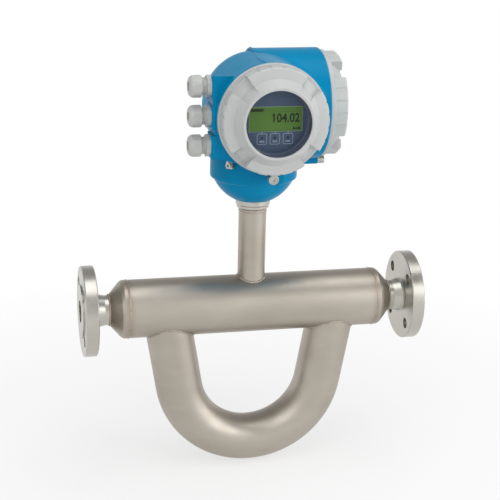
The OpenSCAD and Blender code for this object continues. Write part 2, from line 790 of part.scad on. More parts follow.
module gland_body() {
    difference() {
        union() {
            gland_hex(gland_hex_t);
            translate([0, 0, -gland_stem]) cylinder(r = gland_thread_r - run_gap, h = gland_stem + eps);
            translate([0, 0, gland_hex_t - eps])
                cylinder(r = gland_thread_r, h = nut_start + 8.5 - gland_hex_t);
        }
        translate([0, 0, -gland_stem - eps]) cylinder(r = gland_bore_r, h = 60);
        translate([0, 0, seal_start]) cylinder(r = gland_bore_r + 1.3, h = 30);
    }
}

module gland_seal() { translate([0, 0, seal_start]) tube(gland_bore_r + 1.25, seal_bore_r, seal_l); }

module gland_nut() {
    in_r = gland_thread_r + run_gap;
    translate([0, 0, nut_start]) difference() {
        intersection() {
            gland_hex(gland_nut_l);
            rotate_extrude() polygon([[0, 0], [nut_corner_r - 0.6, 0], [nut_corner_r, 0.8],
                [nut_corner_r, 8.6], [12.9, 11.2], [11.8, 13.2], [10.2, 14.6], [8.8, gland_nut_l],
                [0, gland_nut_l]]);
        }
        rotate_extrude() polygon([[0, -eps], [in_r, -eps], [in_r, 8.4], [8.7, 10.8], [nut_mouth_r, 12.4],
            [nut_mouth_r, gland_nut_l + eps], [0, gland_nut_l + eps]]);
    }
}

module gland_body_top() { color([0.76, 0.76, 0.74]) at_gland(0) gland_body(); }

module gland_body_middle() { color([0.76, 0.76, 0.74]) at_gland(1) gland_body(); }

module gland_body_bottom() { color([0.76, 0.76, 0.74]) at_gland(2) gland_body(); }

module gland_seal_top() { color([0.1, 0.1, 0.1]) at_gland(0) gland_seal(); }

module gland_seal_middle() { color([0.1, 0.1, 0.1]) at_gland(1) gland_seal(); }

module gland_seal_bottom() { color([0.1, 0.1, 0.1]) at_gland(2) gland_seal(); }

module gland_nut_top() { color([0.78, 0.78, 0.76]) at_gland(0) gland_nut(); }

module gland_nut_middle() { color([0.78, 0.78, 0.76]) at_gland(1) gland_nut(); }

module gland_nut_bottom() { color([0.78, 0.78, 0.76]) at_gland(2) gland_nut(); }

inlet_flange();
outlet_flange();
inlet_reducer();
outlet_reducer();
main_casing();
loop_casing();
neck_tube();
neck_collar();
inlet_splitter();
outlet_splitter();
measuring_tube_front();
measuring_tube_rear();
brace_plates();
drive_coil();
drive_magnet();
pickoff_coils();
pickoff_magnets();
temperature_sensor();
neck_feedthrough();
swivel_ring();
transmitter_housing();
swivel_lock_screw();
electronics_module();
terminal_block();
display_holder();
display_case();
display_panel();
lcd();
display_cover();
window_glass();
window_gasket();
window_retainer();
display_cover_oring();
side_cover();
side_cover_oring();
front_clamp();
front_clamp_screw();
side_clamp();
side_clamp_screw();
ground_terminal();
ground_screw();
gland_body_top();
gland_body_middle();
gland_body_bottom();
gland_seal_top();
gland_seal_middle();
gland_seal_bottom();
gland_nut_top();
gland_nut_middle();
gland_nut_bottom();
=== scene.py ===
"""Looks of a flanged U-loop mass flow meter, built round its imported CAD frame.

Metres. The pipe runs along +X from the inlet face at x = 0, +Z is up and the display faces -Y.
"""

import json
import math

import bmesh
import bpy
from mathutils import Matrix, Vector


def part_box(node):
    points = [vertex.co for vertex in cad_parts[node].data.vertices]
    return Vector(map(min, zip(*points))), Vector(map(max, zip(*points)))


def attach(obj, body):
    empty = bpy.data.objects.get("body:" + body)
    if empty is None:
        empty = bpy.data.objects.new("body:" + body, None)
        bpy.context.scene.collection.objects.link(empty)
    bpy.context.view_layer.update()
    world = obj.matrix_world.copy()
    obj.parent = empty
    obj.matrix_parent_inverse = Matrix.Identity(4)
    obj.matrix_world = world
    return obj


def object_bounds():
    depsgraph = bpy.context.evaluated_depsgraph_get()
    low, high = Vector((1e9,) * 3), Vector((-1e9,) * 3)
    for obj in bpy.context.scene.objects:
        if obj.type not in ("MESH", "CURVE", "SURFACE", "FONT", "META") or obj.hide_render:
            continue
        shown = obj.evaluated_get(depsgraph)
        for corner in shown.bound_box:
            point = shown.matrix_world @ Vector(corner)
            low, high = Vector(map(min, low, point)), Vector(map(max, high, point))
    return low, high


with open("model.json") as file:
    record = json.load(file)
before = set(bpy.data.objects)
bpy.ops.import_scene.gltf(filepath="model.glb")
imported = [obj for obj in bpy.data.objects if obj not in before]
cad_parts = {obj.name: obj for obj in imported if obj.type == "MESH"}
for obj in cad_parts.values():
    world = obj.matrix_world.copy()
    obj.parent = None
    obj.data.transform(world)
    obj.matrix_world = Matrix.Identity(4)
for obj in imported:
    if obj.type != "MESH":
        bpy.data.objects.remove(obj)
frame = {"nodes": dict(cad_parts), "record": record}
cad_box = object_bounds()
nodes = frame["nodes"]

MM = 0.001
X = Vector((1, 0, 0))
Y = Vector((0, 1, 0))
Z = Vector((0, 0, 1))


# ---------- Sizes read from the frame ----------

def middle(node):
    low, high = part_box(node)
    return (low + high) / 2


def half(node, axis):
    """Half of a node's extent along an axis, 0 to 2."""
    low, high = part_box(node)
    return (high[axis] - low[axis]) / 2


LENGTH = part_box("outlet_flange")[1].x
NECK_X = middle("neck_tube").x
NECK_R = half("neck_tube", 1)
COLLAR_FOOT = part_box("neck_collar")[0].z
CASING_R = half("main_casing", 1)
LOOP_R = half("loop_casing", 1)
REDUCER_WELD_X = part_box("main_casing")[0].x
HUB_WELD_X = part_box("inlet_flange")[1].x

# The loop's route and the flanges' hubs, as in the part's source.
LEG_LEAN = math.radians(9.8)
BEND_R = 94.4 * MM
BEND_DEPTH = 93.6 * MM
# From the neck's axis to where a leg's axis meets the pipe's.
LEG_TOP = BEND_R * math.cos(LEG_LEAN) + math.tan(LEG_LEAN) * (
    BEND_DEPTH + BEND_R * math.sin(LEG_LEAN)
)
HUB_R = 19.2 * MM


# ---------- Mesh helpers ----------

def add_piece(name, shape, material, body, smooth_angle=35):
    """Makes an object of a mesh or bmesh, in the frame's own axes, that rides on a body."""
    mesh = shape
    if isinstance(shape, bmesh.types.BMesh):
        mesh = bpy.data.meshes.new(name)
        bmesh.ops.recalc_face_normals(shape, faces=shape.faces)
        shape.to_mesh(mesh)
        shape.free()
    piece = bpy.data.objects.new(name, mesh)
    bpy.context.scene.collection.objects.link(piece)
    mesh.materials.append(material)
    mesh.shade_smooth()
    mesh.set_sharp_from_angle(angle=math.radians(smooth_angle))
    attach(piece, body)


def frame_at(origin, out, up):
    """Matrix that takes local Z to out and local Y as near to up as it can."""
    z = Vector(out).normalized()
    x = Vector(up).cross(z).normalized()
    y = z.cross(x)
    turned = Matrix((x, y, z)).transposed().to_4x4()
    return Matrix.Translation(origin) @ turned


def circle(count):
    """Cosine and sine of evenly spaced angles, once round."""
    angles = [math.tau * k / count for k in range(count)]
    return [(math.cos(a), math.sin(a)) for a in angles]


def ring_of(made, outline, place, height):
    """New vertices on an outline in the local XY plane, lifted along local Z."""
    return [made.verts.new(place @ Vector((x, y, height))) for x, y in outline]


def bridge(made, first, second):
    """Faces between two closed rings with as many vertices each."""
    count = len(first)
    for i in range(count):
        j = (i + 1) % count
        made.faces.new((first[i], first[j], second[j], second[i]))


def swept_ring(path, radius, sides, closed=True):
    """A tube along a path of (centre, radius factor); each section faces along the path."""
    made = bmesh.new()
    count = len(path)
    rings = []
    for i, (point, factor) in enumerate(path):
        before = path[(i - 1) % count][0] if closed or i else point
        after = path[(i + 1) % count][0] if closed or i < count - 1 else point
        along = (after - before).normalized()
        # A section's sides are set square to Z, or to X where the path is steep.
        side = along.cross(Z if abs(along.z) < 0.9 else X).normalized()
        other = along.cross(side)
        rings.append([
            made.verts.new(point + side * radius * factor * c + other * radius * factor * s)
            for c, s in circle(sides)
        ])
    for i in range(count if closed else count - 1):
        bridge(made, rings[i], rings[(i + 1) % count])
    if not closed:
        made.faces.new(rings[0])
        made.faces.new(rings[-1][::-1])
    return made


def lathe(profile, place, segments=96):
    """A ring or disc about the local Z of a matrix, by a profile of (radius, height)."""
    made = bmesh.new()
    rings = []
    for r, h in profile:
        outline = [(r * c, r * s) for c, s in circle(segments)] if r > 0 else [(0, 0)]
        rings.append(ring_of(made, outline, place, h))
    ends_on_axis = profile[0][0] <= 0 and profile[-1][0] <= 0
    pairs = list(zip(rings, rings[1:])) + ([] if ends_on_axis else [(rings[-1], rings[0])])
    for first, second in pairs:
        for k in range(segments):
            corners = [first[k % len(first)], first[(k + 1) % len(first)],
                       second[(k + 1) % len(second)], second[k % len(second)]]
            unique = list(dict.fromkeys(corners))
            if len(unique) > 2:
                made.faces.new(unique)
    return made


def plates(outlines, place, thickness):
    """Flat plates with given outlines in the local XY plane, raised along local Z."""
    made = bmesh.new()
    for outline in outlines:
        low = ring_of(made, outline, place, 0)
        high = ring_of(made, outline, place, thickness)
        made.faces.new(low[::-1])
        made.faces.new(high)
        bridge(made, low, high)
    return made


def rounded_box(width, height, radius, centre, steps=5):
    """Outline of a rectangle with round corners, counter-clockwise."""
    points = []
    for quarter, (sx, sy) in enumerate(((1, 1), (-1, 1), (-1, -1), (1, -1))):
        for i in range(steps + 1):
            a = math.pi / 2 * (quarter + i / steps)
            points.append((
                centre[0] + sx * (width / 2 - radius) + radius * math.cos(a),
                centre[1] + sy * (height / 2 - radius) + radius * math.sin(a),
            ))
    return points


def outline_frame(outer, inner, place, thickness):
    """A raised frame between an outline and a smaller one with as many points."""
    made = bmesh.new()
    corners = ((outer, 0), (outer, thickness), (inner, thickness), (inner, 0))
    loops = [ring_of(made, outline, place, height) for outline, height in corners]
    for first, second in zip(loops, loops[1:] + loops[:1]):
        bridge(made, first, second)
    return made


# ---------- Materials ----------

def linear(r, g, b):
    """A colour written in 0 to 255 display values, as the shader wants it."""
    def one(v):
        v /= 255
        return v / 12.92 if v <= 0.04045 else ((v + 0.055) / 1.055) ** 2.4
    return (one(r), one(g), one(b), 1)


def scaled(colour, factor):
    """A colour made lighter or darker."""
    return tuple(min(1, c * factor) for c in colour[:3]) + (1,)


def grey(value):
    return (value, value, value, 1)


def fill_input(tree, socket, value):
    """Links a node's output to an input, or writes a plain value into it."""
    if isinstance(value, bpy.types.NodeSocket):
        tree.links.new(value, socket)
    else:
        socket.default_value = value


def node_adder(tree):
    """A function that adds a shader node; inputs go by name, or by number where names repeat."""
    def add(kind, inputs=None, **settings):
        made = tree.nodes.new("ShaderNode" + kind)
        for key, value in settings.items():
            setattr(made, key, value)
        for key, value in (inputs or {}).items():
            fill_input(tree, made.inputs[key], value)
        return made
    return add


def calc(add, operation, *values, **settings):
    """The output of a Math node."""
    inputs = dict(enumerate(values))
    return add("Math", inputs, operation=operation, **settings).outputs["Value"]


NOISE_SPAN = (0.3, 0.7)    # most of a noise's values lie in it
WAVE_TURN = 20             # radians that the wave texture turns in a unit of its scale

# A Mix node names its sockets alike for numbers and colours. These are the ones for colours.
MIX_FIRST, MIX_SECOND, MIX_RESULT = 6, 7, 2


class Finish:
    """A material on a Principled shader whose colour, roughness and bump come from nodes."""

    def __init__(self, name, colour, roughness, metallic=0.0, specular=0.5):
        self.material = bpy.data.materials.new(name)
        self.material.use_nodes = True
        self.tree = self.material.node_tree
        self.shader = self.tree.nodes["Principled BSDF"]
        self.add = node_adder(self.tree)
        self.colour = colour
        self.roughness = roughness
        self.normal = None
        self.set("Base Color", colour)
        self.set("Roughness", roughness)
        self.set("Metallic", metallic)
        self.set("Specular IOR Level", specular)
        self.place = self.add("TexCoord").outputs["Object"]

    def set(self, socket, value):
        """Gives an input of the shader a value or a node's output."""
        fill_input(self.tree, self.shader.inputs[socket], value)
        return self

    def noise(self, scale, detail, stretch=None):
        place = self.place
        if stretch:
            place = self.add("Mapping", {"Vector": place, "Scale": stretch}).outputs["Vector"]
        return self.add("TexNoise", {
            "Vector": place, "Scale": scale, "Detail": detail, "Roughness": 0.55,
        }).outputs["Fac"]

    def tone(self, amount, scale, stretch=None, warm=None):
        """Varies the base colour about its written value; a warm colour takes its darker end."""
        ramp = self.add("ValToRGB", {"Fac": self.noise(scale, 4.0, stretch)})
        low, high = ramp.color_ramp.elements
        low.position, high.position = NOISE_SPAN
        low.color = scaled(warm or self.colour, 1 - amount)
        high.color = scaled(self.colour, 1 + amount)
        return self.set("Base Color", ramp.outputs["Color"])

    def heat_tint(self, places, width, tint, amount):
        """Tints the base colour in bands across X, as beside a weld, of uneven strength."""
        along = self.add("SeparateXYZ", {"Vector": self.place}).outputs["X"]
        uneven = self.add("MapRange", {"Value": self.noise(70, 3.0), "To Min": 0.6, "To Max": 1.4})
        mask = 0.0
        for x in places:
            gap = calc(self.add, "ABSOLUTE", calc(self.add, "SUBTRACT", along, x))
            band = self.add("MapRange", {
                "Value": gap, "From Max": width, "To Min": amount, "To Max": 0.0,
            }, interpolation_type="SMOOTHSTEP")
            mask = calc(self.add, "MAXIMUM", mask, band.outputs["Result"])
        mask = calc(self.add, "MULTIPLY", mask, uneven.outputs["Result"], use_clamp=True)
        plain = self.shader.inputs["Base Color"].links[0].from_socket
        mixed = self.add("Mix", {
            "Factor": mask, MIX_FIRST: plain, MIX_SECOND: tint,
        }, data_type="RGBA")
        return self.set("Base Color", mixed.outputs[MIX_RESULT])

    def gloss(self, spread, scale):
        """Varies the roughness about its written value."""
        low, high = NOISE_SPAN
        varied = self.add("MapRange", {
            "Value": self.noise(scale, 5.0), "From Min": low, "From Max": high,
            "To Min": self.roughness - spread, "To Max": self.roughness + spread,
        })
        return self.set("Roughness", varied.outputs["Result"])

    def soften(self, radius):
        """Rounds sharp edges in the shading."""
        self.normal = self.add("Bevel", {"Radius": radius}, samples=6).outputs["Normal"]
        return self.set("Normal", self.normal)

    def bump(self, height, strength, distance):
        """Lays a relief over the normal that the finish has so far."""
        inputs = {"Height": height, "Strength": strength, "Distance": distance}
        if self.normal:
            inputs["Normal"] = self.normal
        self.normal = self.add("Bump", inputs).outputs["Normal"]
        return self.set("Normal", self.normal)

    def grain(self, scale, strength, distance, stretch=None):
        """Lays a fine noise over the surface."""
        return self.bump(self.noise(scale, 2.0, stretch), strength, distance)

    def turned_rings(self, direction, pitch, strength):
        """Fine tool marks in circles about an axis."""
        rings = self.add("TexWave", {
            "Vector": self.place, "Scale": math.tau / (WAVE_TURN * pitch), "Distortion": 0.6,
            "Detail": 1.5, "Detail Scale": 1.0,
        }, wave_type="RINGS", rings_direction=direction)
        return self.bump(rings.outputs["Fac"], strength, 0.05 * MM)


def flange_steel():
    finish = Finish("flange_steel", linear(188, 185, 177), 0.3, metallic=1.0)
    finish.tone(0.05, 30).gloss(0.05, 60).soften(0.5 * MM)
    finish.turned_rings("X", 0.7 * MM, 0.1)
    return finish.grain(1, 0.08, 0.05 * MM, stretch=(2600, 9, 9)).material


def casing_steel():
    finish = Finish("casing_steel", linear(181, 175, 165), 0.43, metallic=1.0)
    finish.tone(0.06, 18, stretch=(0.4, 1, 1), warm=linear(176, 168, 156)).gloss(0.05, 45)
    welds = (REDUCER_WELD_X, LENGTH - REDUCER_WELD_X, HUB_WELD_X, LENGTH - HUB_WELD_X)
    finish.heat_tint(welds, 9 * MM, linear(152, 138, 120), 0.45).soften(0.6 * MM)
    return finish.grain(900, 0.16, 0.08 * MM).material


def weld_steel():
    finish = Finish("weld_steel", linear(176, 168, 156), 0.34, metallic=1.0)
    finish.tone(0.08, 160, warm=linear(167, 157, 144)).gloss(0.08, 200)
    return finish.grain(1400, 0.3, 0.12 * MM).material


def inner_steel():
    finish = Finish("inner_steel", linear(190, 187, 182), 0.32, metallic=1.0)
    return finish.tone(0.05, 30).gloss(0.05, 60).grain(1200, 0.12, 0.1 * MM).material


def blue_paint(name="blue_paint", edge=2.5 * MM):
    finish = Finish(name, linear(0, 131, 176), 0.34, specular=0.03)
    finish.tone(0.035, 22).gloss(0.04, 70).soften(edge)
    finish.set("Coat Weight", 0.09).set("Coat Roughness", 0.2)
    return finish.grain(520, 0.06, 0.12 * MM).material


def grey_coat():
    finish = Finish("grey_coat", linear(185, 188, 187), 0.42)
    finish.tone(0.025, 26).gloss(0.05, 90).soften(0.8 * MM)
    return finish.grain(750, 0.12, 0.1 * MM).material


def gland_plastic():
    finish = Finish("gland_plastic", linear(184, 186, 182), 0.42, specular=0.45)
    finish.tone(0.03, 60).gloss(0.05, 150).soften(0.7 * MM)
    return finish.grain(1500, 0.06, 0.05 * MM).material


def fastener_steel():
    finish = Finish("fastener_steel", linear(186, 184, 179), 0.3, metallic=1.0)
    finish.tone(0.08, 120).gloss(0.07, 260).soften(0.25 * MM)
    return finish.grain(2200, 0.15, 0.04 * MM).material


def plain_surface(name, colour, roughness):
    """Moulded plastic, resin or ceramic, or a dull plating, of one colour."""
    finish = Finish(name, colour, roughness, specular=0.4)
    finish.tone(0.08, 60).gloss(0.05, 140).soften(0.3 * MM)
    return finish.grain(1600, 0.1, 0.05 * MM).material


def black_rubber():
    finish = Finish("black_rubber", linear(30, 30, 31), 0.72, specular=0.3)
    finish.tone(0.2, 90).gloss(0.08, 200)
    return finish.grain(1900, 0.2, 0.06 * MM).material


def panel_foil():
    finish = Finish("panel_foil", linear(64, 84, 110), 0.38, specular=0.45)
    finish.tone(0.04, 40).gloss(0.04, 120)
    return finish.grain(2600, 0.06, 0.03 * MM).material


def panel_print():
    finish = Finish("panel_print", linear(150, 160, 182), 0.4)
    return finish.tone(0.04, 200).gloss(0.04, 200).material


def rim_plastic():
    finish = Finish("rim_plastic", linear(84, 94, 116), 0.35)
    return finish.tone(0.04, 60).gloss(0.04, 120).material


def lcd_face():
    """Green liquid crystal with a faint light behind it."""
    green = linear(76, 116, 38)
    finish = Finish("lcd_face", green, 0.35, specular=0.4)
    finish.tone(0.05, 45).gloss(0.03, 150)
    return finish.set("Emission Color", green).set("Emission Strength", 0.1).material


def lcd_edge():
    finish = Finish("lcd_edge", linear(128, 156, 118), 0.4)
    return finish.tone(0.04, 200).gloss(0.04, 200).material


def lcd_ink():
    finish = Finish("lcd_ink", linear(16, 36, 14), 0.45, specular=0.3)
    return finish.tone(0.1, 300).gloss(0.04, 300).material


def window_glass():
    finish = Finish("window_glass", (0.01, 0.012, 0.015, 1), 0.03)
    return finish.gloss(0.02, 25).set("Alpha", 0.06).material


def copper_winding():
    finish = Finish("copper_winding", linear(184, 112, 58), 0.35, metallic=0.9)
    finish.tone(0.1, 300).gloss(0.06, 300)
    return finish.grain(1, 0.4, 0.1 * MM, stretch=(900, 5000, 900)).material


def dress_nodes():
    """Gives every CAD node its finish, by the record's material slots."""
    finishes = {
        "flange_steel": flange_steel(),
        "casing_steel": casing_steel(),
        "tube_steel": inner_steel(),
        "copper_winding": copper_winding(),
        "magnet_steel": plain_surface("magnet_plating", linear(92, 92, 96), 0.3),
        "ceramic_white": plain_surface("ceramic_white", linear(220, 219, 212), 0.5),
        "potting_green": plain_surface("potting_resin", linear(78, 107, 92), 0.45),
        "spring_steel": fastener_steel(),
        "housing_blue": blue_paint(),
        "cover_grey": grey_coat(),
        "gland_grey": gland_plastic(),
        "module_black": plain_surface("module_black", linear(38, 40, 44), 0.5),
        "terminal_green": plain_surface("terminal_green", linear(52, 108, 70), 0.45),
        "display_case_dark": plain_surface("display_case", linear(36, 42, 54), 0.45),
        "display_panel_blue": panel_foil(),
        "lcd_green": lcd_face(),
        "window_glass": window_glass(),
        "seal_rubber": black_rubber(),
        "retainer_dark": plain_surface("retainer_black", linear(92, 102, 122), 0.45),
    }
    finishes["fastener_steel"] = finishes["spring_steel"]
    for part in frame["record"]["subparts"]:
        mesh = nodes[part["node"]].data
        mesh.materials.clear()
        mesh.materials.append(finishes[part["material_slot"]])
    return finishes


# ---------- Weld beads of the sensor ----------

BEAD_RIPPLE = 0.14         # share by which a ripple thickens and thins the bead
STEPS_PER_RIPPLE = 7


def add_bead(name, point_at, radius, material, ripples):
    """A weld bead round a closed seam, with the ripples of a weld."""
    # The count isn't a multiple of the ripples, so that neighbouring ripples differ a little.
    count = ripples * STEPS_PER_RIPPLE + 1
    path = []
    for i in range(count):
        angle = math.tau * i / count
        path.append((point_at(angle), 1 + BEAD_RIPPLE * math.sin(ripples * angle)))
    add_piece(name, swept_ring(path, radius, 8), material, "sensor", 80)


def neck_foot(angle):
    """Seam between the neck and the straight casing."""
    y = NECK_R * math.sin(angle)
    return Vector((NECK_X + NECK_R * math.cos(angle), y, math.sqrt(CASING_R**2 - y**2)))


def collar_foot(angle):
    """Seam between the neck and its collar."""
    radius = NECK_R - 0.3 * MM
    x = NECK_X + radius * math.cos(angle)
    return Vector((x, radius * math.sin(angle), COLLAR_FOOT - 2.5 * MM))


def leg_head(side):
    """Seam between a leg of the loop and the straight casing."""
    down = Vector((-side * math.sin(LEG_LEAN), 0, -math.cos(LEG_LEAN)))
    across = Vector((math.cos(LEG_LEAN), 0, -side * math.sin(LEG_LEAN)))
    top = Vector((NECK_X + side * LEG_TOP, 0, 0))

    def point_at(angle):
        y = LOOP_R * math.sin(angle)
        edge = top + across * LOOP_R * math.cos(angle)
        depth = (edge.z + math.sqrt(CASING_R**2 - y**2)) / -down.z
        return edge + down * depth + Y * y

    return point_at


def ring_seam(x, radius):
    """Seam round the pipe's axis."""
    return lambda angle: Vector((x, radius * math.cos(angle), radius * math.sin(angle)))


def add_welds():
    material = weld_steel()
    add_bead("weld_neck_foot", neck_foot, 1.5 * MM, material, 44)
    for side, name in ((-1, "left"), (1, "right")):
        add_bead("weld_leg_" + name, leg_head(side), 1.3 * MM, material, 76)
    for name, mirror in (("inlet", False), ("outlet", True)):
        for seam, x, radius, thick in (
            ("reducer", REDUCER_WELD_X, CASING_R - 0.5 * MM, 1.1 * MM),
            ("hub", HUB_WELD_X, HUB_R - 0.2 * MM, 1.3 * MM),
        ):
            at = LENGTH - x if mirror else x
            add_bead(f"weld_{name}_{seam}", ring_seam(at, radius), thick, material, 60)
    add_bead("weld_collar", collar_foot, 0.8 * MM, material, 50)


# ---------- Housing ----------

# The two barrels, as in the part's source. Sideways sizes are from the neck's axis.
BARREL_Z = 260 * MM        # height of both barrels' axes
FRONT_BARREL_R = 66.6 * MM
FRONT_RIM = 90 * MM
DOME_Y = -4 * MM           # centre of the dome that closes the front barrel
SIDE_BARREL_R = 69 * MM
SIDE_BARREL_LEFT = -4 * MM
SIDE_RIM = 79.5 * MM

# Where the ridge runs on top of the housing: (x from the neck axis, y), in millimetres.
RIDGE = ((-4.2, 66.0), (-4.2, 52.0), (-4.2, 34.0), (-4.2, 16.0), (-4.3, -2.6), (-4.6, -12.0),
         (-6.4, -26.0), (-8.0, -39.0), (-9.3, -51.0), (-9.8, -62.0), (-9.7, -71.0), (-9.2, -80.0),
         (-8.6, -88.5))
RIDGE_STEPS = 12           # between two of these points
RIDGE_R = 2 * MM
RIDGE_SUNK = 0.9 * MM      # depth of the bead's centre below the surface
RIDGE_BACK = 0.2           # share of the bead's thickness at its back end
RIDGE_FRONT = 0.5          # and at its front end
RIDGE_TAPER = 20           # points of the run over which that share would grow by 1

FILLET_R = 15 * MM         # where there is room for it
RIM_GAP = 0.7 * MM         # between the fillet's ends and the barrels' rims
FILLET_REACH = 73 * MM     # the farthest that the ball's centre stands from the neck's axis in X
FILLET_SPAN = 80 * MM      # radius of the arc on which the sections' heights are spaced
FILLET_START = 6           # degrees on that arc, from its top
FILLET_SWEEP = 132
FILLET_SECTIONS = 72
FILLET_ARC = 12            # steps of a section's arc
FILLET_ROOT = 0.41         # puts a section's innermost point inside the barrels


def smooth_run(points, steps):
    """Points along a Catmull-Rom curve through the given ones."""
    points = [Vector(p) for p in points]
    ends = [2 * points[0] - points[1]] + points + [2 * points[-1] - points[-2]]
    run = []
    for a, b, c, d in zip(ends, ends[1:], ends[2:], ends[3:]):
        for i in range(steps):
            t = i / steps
            run.append(0.5 * (2 * b + (c - a) * t + (2 * a - 5 * b + 4 * c - d) * t**2
                              + (3 * b - a - 3 * c + d) * t**3))
    return run + [points[-1]]


def housing_top(x, y):
    """Height of the two barrels' joint surface, x measured from the neck axis."""
    front = math.sqrt(max(0, FRONT_BARREL_R**2 - x**2 - max(0, y - DOME_Y)**2))
    # The side barrel counts from a little before its end, since the ridge runs over that edge.
    beside = x > SIDE_BARREL_LEFT - 0.5 * MM
    side = math.sqrt(max(0, SIDE_BARREL_R**2 - y**2)) if beside else 0
    return BARREL_Z + max(front, side)


def add_ridge(material):
    """Rounded ridge where the side barrel rises out of the front one, thinner at its ends."""
    run = smooth_run([(x * MM, y * MM) for x, y in RIDGE], RIDGE_STEPS)
    last = len(run) - 1
    path = []
    for i, (x, y) in enumerate(run):
        share = min(1, RIDGE_BACK + i / RIDGE_TAPER, RIDGE_FRONT + (last - i) / RIDGE_TAPER)
        # The bead stays within the CAD's box.
        z = min(housing_top(x, y) - RIDGE_SUNK, cad_box[1].z - RIDGE_R * share)
        path.append((Vector((NECK_X + x, y, z)), share))
    add_piece("housing_ridge", swept_ring(path, RIDGE_R, 14, closed=False), material,
              "transmitter", 80)


def skirt(foot, near, far, axis, radius):
    """Points that carry the fillet on just under a barrel's surface, and then down into it."""
    away = -(far - near * near.dot(far)).normalized()
    points = []
    for reach, sunk in ((2 * MM, 0.12 * MM), (5 * MM, 0.6 * MM), (5 * MM, 6 * MM)):
        point = foot + away * reach
        on_axis = axis * point.dot(axis)
        points.append(on_axis + (point - on_axis).normalized() * (radius - sunk))
    return points


def fillet_section(height):
    """Outline of the fillet where a ball at this height touches both barrels."""
    ball = min(FILLET_R, math.hypot(FILLET_REACH, height) - FRONT_BARREL_R)
    across = (FRONT_BARREL_R + ball)**2 - height**2
    along = (SIDE_BARREL_R + ball)**2 - height**2
    centre = Vector((math.sqrt(max(0, across)), -math.sqrt(max(0, along)), height))
    on_front = Vector((centre.x, 0, height)) * FRONT_BARREL_R / (FRONT_BARREL_R + ball)
    on_front.y = centre.y
    on_side = Vector((0, centre.y, height)) * SIDE_BARREL_R / (SIDE_BARREL_R + ball)
    on_side.x = centre.x
    first = (on_front - centre).normalized()
    last = (on_side - centre).normalized()
    arc = [centre + first.slerp(last, i / FILLET_ARC) * ball for i in range(FILLET_ARC + 1)]
    front_skirt = skirt(on_front, first, last, Y, FRONT_BARREL_R)
    side_skirt = skirt(on_side, last, first, X, SIDE_BARREL_R)
    root = (on_front + on_side) * FILLET_ROOT
    return front_skirt[::-1] + arc + side_skirt + [root]


def add_fillet(material):
    """Cast fillet in the corner between the two barrels: the path of a ball that touches both."""
    made = bmesh.new()
    right_end = SIDE_RIM - RIM_GAP
    front_end = -(FRONT_RIM - RIM_GAP)
    rings = []
    for k in range(FILLET_SECTIONS + 1):
        angle = math.radians(FILLET_START + FILLET_SWEEP * k / FILLET_SECTIONS)
        rings.append([
            made.verts.new((NECK_X + min(p.x, right_end), max(p.y, front_end), BARREL_Z + p.z))
            for p in fillet_section(FILLET_SPAN * math.cos(angle))
        ])
    for first, second in zip(rings, rings[1:]):
        bridge(made, first, second)
    made.faces.new(rings[0][::-1])
    made.faces.new(rings[-1])
    add_piece("housing_fillet", made, material, "transmitter", 50)


# ---------- Cable glands ----------

THREAD_R = 10 * MM
THREAD_PITCH = 1.5 * MM
THREAD_TURNS = 2.75
THREAD_CREST_R = 0.5 * MM
THREAD_STEPS = 72          # in a turn


def add_gland_threads(material):
    """The few turns of thread that show between a gland's hexagon and its cap nut."""
    for place in ("top", "middle", "bottom"):
        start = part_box("gland_nut_" + place)[1].x + 0.1 * MM
        axis = middle("gland_nut_" + place)
        path = []
        for i in range(round(THREAD_TURNS * THREAD_STEPS)):
            angle = math.tau * i / THREAD_STEPS
            path.append((Vector((
                start + THREAD_PITCH * i / THREAD_STEPS,
                axis.y + THREAD_R * math.cos(angle),
                axis.z + THREAD_R * math.sin(angle),
            )), 1.0))
        add_piece("thread_gland_" + place, swept_ring(path, THREAD_CREST_R, 6, closed=False),
                  material, "transmitter", 60)


# ---------- Display ----------

INK = 0.15 * MM            # thickness of the figures on the liquid crystal
PRINT = 0.2 * MM           # thickness of the print on the panel

LCD_MARGIN_X = 1.4 * MM    # hidden at either side of the liquid crystal
LCD_MARGIN_Z = 0.8 * MM    # hidden above and below

READING = "104.02"
FIGURE_SIZE = 14.6 * MM
FIGURE_WIDTH = 0.87        # against the built-in font's
FIGURE_BOLD = 0.34 * MM    # added round each figure
READING_INSET = 2.4 * MM   # from the visible part's right edge
BASELINE = 18.0 * MM       # below the visible part's top

# The slanted stroke of the figure one, from the reading's top left corner, in millimetres.
SLANT = ((0.4, -2.0), (0.4, -0.1), (-1.5, -1.9), (-1.5, -3.2))

KEY_PITCH = 15.7 * MM
KEY_WIDTH = 12.2 * MM
KEY_HEIGHT = 13.2 * MM
KEY_CORNER = 2.2 * MM
KEY_LINE = 0.7 * MM
KEY_SENSOR_R = 1.5 * MM
KEY_SENSOR_HEIGHT = 0.25 * MM
KEYS_LEFT = 0.6 * MM       # of the middle key, from the liquid crystal's middle
KEYS_DROP = 8.5 * MM       # of the keys' middles, from the liquid crystal's lower end

# Section of the rim round the panel: (radius, height), in millimetres.
PANEL_RIM = ((38.4, 0), (41.6, 0), (41.6, 0.9), (40.2, 0.9))


def face_frame(node):
    """Matrix on the middle of a node's front: X to the right, Y up, Z to the viewer."""
    centre = middle(node)
    return frame_at(Vector((centre.x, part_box(node)[0].y, centre.z)), -Y, Z)


def lcd_view():
    """Width and height of the liquid crystal's visible part."""
    return 2 * (half("lcd", 0) - LCD_MARGIN_X), 2 * (half("lcd", 2) - LCD_MARGIN_Z)


def add_to_display(name, shape, material):
    add_piece(name, shape, material, "display_module")


